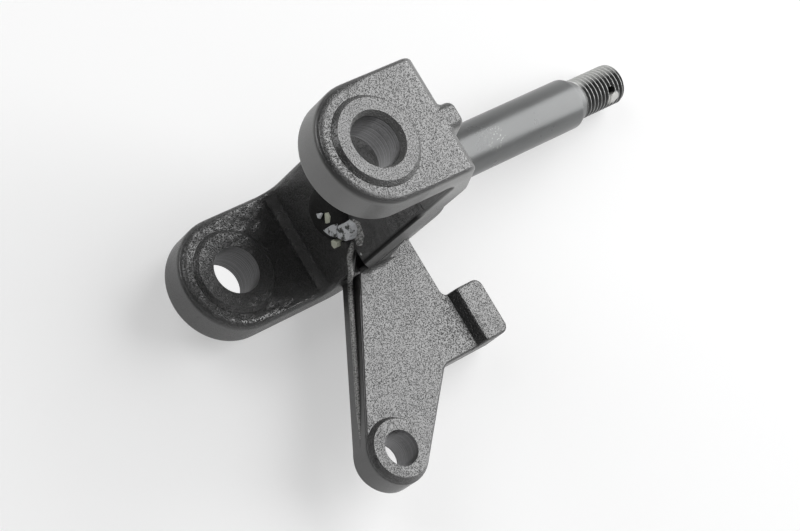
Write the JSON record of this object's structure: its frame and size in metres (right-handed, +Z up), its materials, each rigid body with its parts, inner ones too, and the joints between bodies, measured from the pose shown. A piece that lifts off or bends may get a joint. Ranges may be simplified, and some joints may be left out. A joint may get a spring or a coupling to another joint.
{
  "type": "steering knuckle",
  "caption": "C-shaped yoke with kingpin ears, a threaded spindle for a wheel hub, and a flat steering arm with a tie-rod eye and a stop pad.",
  "frame": {"origin": "where the kingpin axis and the spindle axis cross", "axes": "+Z up along the kingpin axis, +X outward along the spindle axis, steering arm towards -Y"},
  "size_m": [0.2508, 0.148, 0.157],
  "materials": {
    "cast_body": "glossy black paint over a rough cast skin, with bare machined bores",
    "shaft": "thin satin black over smooth turned steel"
  },
  "bodies": {
    "root": {"knuckle_body": "cast_body", "spindle_shaft": "shaft"}
  },
  "joints": []
}
